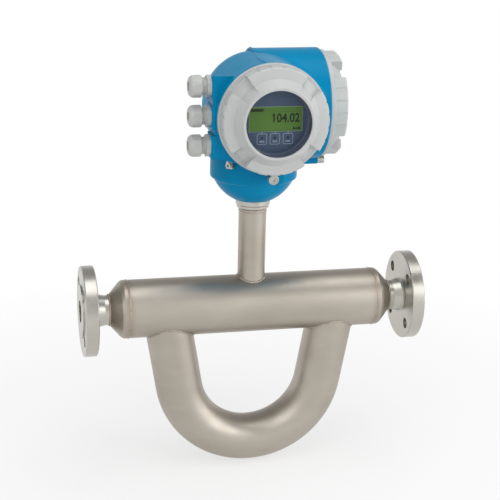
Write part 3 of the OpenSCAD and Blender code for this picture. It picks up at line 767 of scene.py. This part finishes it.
def figures_mesh(right, top):
    """The reading's figures on the local XY plane, set against the right edge."""
    text = bpy.data.curves.new("reading", "FONT")
    text.body = READING
    text.size = FIGURE_SIZE
    text.extrude = INK / 2
    text.align_x = "RIGHT"
    text.offset = FIGURE_BOLD
    text.resolution_u = 4
    made = bpy.data.objects.new("reading_source", text)
    bpy.context.scene.collection.objects.link(made)
    bpy.context.view_layer.update()
    ready = made.evaluated_get(bpy.context.evaluated_depsgraph_get())
    mesh = bpy.data.meshes.new_from_object(ready)
    bpy.data.objects.remove(made)
    squeeze = Matrix.Diagonal((FIGURE_WIDTH, 1, 1, 1))
    foot = (right - READING_INSET, top - BASELINE, INK / 2)
    mesh.transform(Matrix.Translation(foot) @ squeeze)
    return mesh


def header_bar(right, top):
    return rounded_box(15.5 * MM, 3.0 * MM, 0.3 * MM, (-right + 9.2 * MM, top - 3.6 * MM))


def dashed_rule(right, top):
    """Outlines of the dashes to the right of the header bar."""
    dash, gap, thick = 1.3 * MM, 0.5 * MM, 0.35 * MM
    dashes = []
    left = -right + 18.5 * MM
    while left + dash < right - 1.2 * MM:
        dashes.append(rounded_box(dash, thick, 0.1 * MM, (left + dash / 2, top - 5.4 * MM), 2))
        left += dash + gap
    return dashes


def unit_blocks(right, top):
    """Blocks of different heights that stand for the unit's letters."""
    width, pitch = 2.0 * MM, 2.3 * MM
    blocks = []
    for i, tall in enumerate((2.6 * MM, 1.8 * MM, 2.2 * MM, 3.0 * MM)):
        at = (right - 9.9 * MM + i * pitch, -top + 1.6 * MM + tall / 2)
        blocks.append(rounded_box(width, tall, 0.3 * MM, at, 3))
    return blocks


def add_reading(ink):
    """A plain number on the liquid crystal, with a header bar, a rule and a unit made of blocks."""
    place = face_frame("lcd")
    width, height = lcd_view()
    right, top = width / 2, height / 2
    figures = figures_mesh(right, top)
    left_end = min(v.co.x for v in figures.vertices)
    upper_end = max(v.co.y for v in figures.vertices)
    slant = [(left_end + x * MM, upper_end + y * MM) for x, y in SLANT]
    figures.transform(place)
    add_to_display("lcd_reading", figures, ink)
    blocks = [header_bar(right, top), slant] + dashed_rule(right, top) + unit_blocks(right, top)
    add_to_display("lcd_blocks", plates(blocks, place, INK), ink)


def add_lcd_edge(material):
    """Pale edge round the liquid crystal's visible part."""
    width, height = lcd_view()
    offset = middle("lcd") - middle("display_panel")
    at = (offset.x, offset.z)
    outer = rounded_box(width + 1.4 * MM, height + 1.4 * MM, 1.0 * MM, at)
    inner = rounded_box(width + 0.05 * MM, height + 0.05 * MM, 0.4 * MM, at)
    edge = outline_frame(outer, inner, face_frame("display_panel"), PRINT)
    add_to_display("lcd_edge", edge, material)


def add_keys(print_material, ink):
    """Three optical keys printed on the panel: an outline, a tick, a sensor dot and a short bar."""
    place = face_frame("display_panel")
    panel = middle("display_panel")
    middle_x = middle("lcd").x - panel.x - KEYS_LEFT
    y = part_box("lcd")[0].z - panel.z - KEYS_DROP
    sensor = [(0, 0), (KEY_SENSOR_R, 0), (KEY_SENSOR_R, KEY_SENSOR_HEIGHT), (0, KEY_SENSOR_HEIGHT)]
    for i, name in enumerate(("left", "middle", "right")):
        x = middle_x + (i - 1) * KEY_PITCH
        outer = rounded_box(KEY_WIDTH, KEY_HEIGHT, KEY_CORNER, (x, y))
        inner = rounded_box(KEY_WIDTH - 2 * KEY_LINE, KEY_HEIGHT - 2 * KEY_LINE,
                            KEY_CORNER - KEY_LINE, (x, y))
        outline = outline_frame(outer, inner, place, PRINT)
        add_to_display("key_outline_" + name, outline, print_material)
        tick = rounded_box(0.9 * MM, 2.2 * MM, 0.2 * MM, (x, y + 7.5 * MM), 2)
        bar = rounded_box(6.0 * MM, 1.7 * MM, 0.3 * MM, (x, y - 2.9 * MM), 2)
        marks = plates([tick, bar], place, PRINT)
        add_to_display("key_marks_" + name, marks, print_material)
        at = place @ Matrix.Translation((x, y + 1.3 * MM, 0))
        add_to_display("key_sensor_" + name, lathe(sensor, at, 24), ink)


def add_display_details():
    ink = lcd_ink()
    pale = panel_print()
    add_reading(ink)
    add_lcd_edge(lcd_edge())
    add_keys(pale, ink)
    rim = lathe([(r * MM, h * MM) for r, h in PANEL_RIM], face_frame("display_panel"))
    add_to_display("panel_rim", rim, rim_plastic())


# ---------- Studio ----------

# The camera that was fitted to the photograph.
CAMERA_TURN = 13.354       # degrees to the left of the display's direction
CAMERA_LIFT = 17.126       # degrees above the horizon
CAMERA_ROLL = 1.326        # degrees about the line of sight
CAMERA_AIM = Vector((NECK_X - 2.06 * MM, 0, 70.8 * MM))
CAMERA_FAR = 1.7475        # from the point that it aims at
CAMERA_LENS = 98.37        # focal length in millimetres
CAMERA_SENSOR = 36.0       # width in millimetres

# Softboxes that face the neck: name, place, width and height, power.
SOFTBOXES = (
    ("key_softbox", (-1.0, -1.7, 1.45), (1.8, 1.8), 17),
    ("side_softbox", (2.05, -1.05, 0.6), (2.5, 1.6), 20),
    ("top_softbox", (0.42, -0.25, 2.1), (1.8, 1.3), 15),
    ("front_softbox", (1.2, -1.4, 0.85), (0.9, 0.8), 3),
)
SOFTBOX_AIM = Vector((NECK_X, 0, 0.05))

# What metal mirrors, from straight down (0) over the horizon (0.5) to straight up (1).
STUDIO_STOPS = ((0.0, 1.0), (0.52, 1.0), (0.64, 0.66), (0.84, 0.38), (1.0, 0.3))
ROOM_LIGHT = 0.43

FLOOR_SIZE = 12
FLOOR_GAP = 0.5 * MM       # below the loop
FLOOR_FADE = (0.2, 0.8)    # distances from its middle over which it fades to white
FLOOR_WHITE = 0.6          # share of white before the fade


def add_camera():
    turn, lift, roll = (math.radians(a) for a in (CAMERA_TURN, CAMERA_LIFT, CAMERA_ROLL))
    back = Vector((
        -math.sin(turn) * math.cos(lift), -math.cos(turn) * math.cos(lift), math.sin(lift),
    ))
    right = (-back).cross(Z).normalized()
    up = back.cross(right)
    rolled_right = right * math.cos(roll) + up * math.sin(roll)
    rolled_up = up * math.cos(roll) - right * math.sin(roll)
    data = bpy.data.cameras.new("camera")
    data.lens = CAMERA_LENS
    data.sensor_width = CAMERA_SENSOR
    data.clip_start = 0.05
    camera = bpy.data.objects.new("camera", data)
    bpy.context.scene.collection.objects.link(camera)
    camera.matrix_world = (
        Matrix.Translation(CAMERA_AIM + back * CAMERA_FAR)
        @ Matrix((rolled_right, rolled_up, back)).transposed().to_4x4()
    )
    bpy.context.scene.camera = camera


def add_lights():
    for name, place, size, power in SOFTBOXES:
        data = bpy.data.lights.new(name, "AREA")
        data.shape = "RECTANGLE"
        data.size, data.size_y = size
        data.energy = power
        light = bpy.data.objects.new(name, data)
        bpy.context.scene.collection.objects.link(light)
        light.matrix_world = frame_at(place, Vector(place) - SOFTBOX_AIM, Z)


def sees_backdrop(add):
    """One for camera rays and for what metal and glass mirror or let through, else zero."""
    path = add("LightPath").outputs
    bounced = calc(add, "MAXIMUM", path["Is Glossy Ray"], path["Is Transmission Ray"])
    return calc(add, "MAXIMUM", bounced, path["Is Camera Ray"])


def add_world():
    """White to the camera; metal mirrors the studio, and a plain grey room lights the rest."""
    world = bpy.data.worlds.new("studio")
    bpy.context.scene.world = world
    world.use_nodes = True
    tree = world.node_tree
    tree.nodes.clear()
    add = node_adder(tree)
    direction = add("TexCoord").outputs["Generated"]
    height = add("SeparateXYZ", {"Vector": direction}).outputs["Z"]
    lift = add("MapRange", {"Value": height, "From Min": -1.0, "From Max": 1.0}).outputs["Result"]
    ramp = add("ValToRGB", {"Fac": lift})
    elements = ramp.color_ramp.elements
    for element, (position, value) in zip(elements, (STUDIO_STOPS[0], STUDIO_STOPS[-1])):
        element.position = position
        element.color = grey(value)
    for position, value in STUDIO_STOPS[1:-1]:
        elements.new(position).color = grey(value)
    room = add("Background", {"Color": grey(1), "Strength": ROOM_LIGHT})
    studio = add("Background", {"Color": ramp.outputs["Color"], "Strength": 1.0})
    white = add("Background", {"Color": grey(1), "Strength": 1.0})
    mirrored = add("MixShader", {0: sees_backdrop(add), 1: room.outputs[0], 2: studio.outputs[0]})
    camera_ray = add("LightPath").outputs["Is Camera Ray"]
    mixed = add("MixShader", {0: camera_ray, 1: mirrored.outputs[0], 2: white.outputs[0]})
    add("OutputWorld", {"Surface": mixed.outputs[0]})


def add_floor():
    """A plain pale floor just under the loop, which fades to the white of the backdrop."""
    finish = Finish("pale_floor", grey(0.78), 0.6, specular=0.2)
    finish.tone(0.01, 3).set("Emission Color", grey(1)).set("Emission Strength", 0.12)
    distance = finish.add("VectorMath", {0: finish.place}, operation="LENGTH").outputs["Value"]
    near, far = FLOOR_FADE
    fade = finish.add("MapRange", {
        "Value": distance, "From Min": near, "From Max": far, "To Min": FLOOR_WHITE,
    }).outputs["Result"]
    amount = calc(finish.add, "MULTIPLY", fade, sees_backdrop(finish.add))
    white = finish.add("Emission", {"Color": grey(1), "Strength": 1.0})
    mixed = finish.add("MixShader", {
        0: amount, 1: finish.shader.outputs[0], 2: white.outputs[0],
    })
    surface = finish.tree.nodes["Material Output"].inputs["Surface"]
    finish.tree.links.new(mixed.outputs[0], surface)
    bpy.ops.mesh.primitive_plane_add(size=FLOOR_SIZE)
    floor = bpy.context.active_object
    floor.name = "floor"
    floor.location = (NECK_X, 0, cad_box[0].z - FLOOR_GAP)
    floor.data.materials.append(finish.material)


# ---------- Scene ----------

add_camera()
finishes = dress_nodes()
add_welds()
add_ridge(blue_paint("ridge_blue", 0.6 * MM))
add_fillet(finishes["housing_blue"])
add_gland_threads(finishes["gland_grey"])
add_display_details()
add_world()
add_lights()
add_floor()
bpy.context.scene.view_settings.view_transform = "Standard"
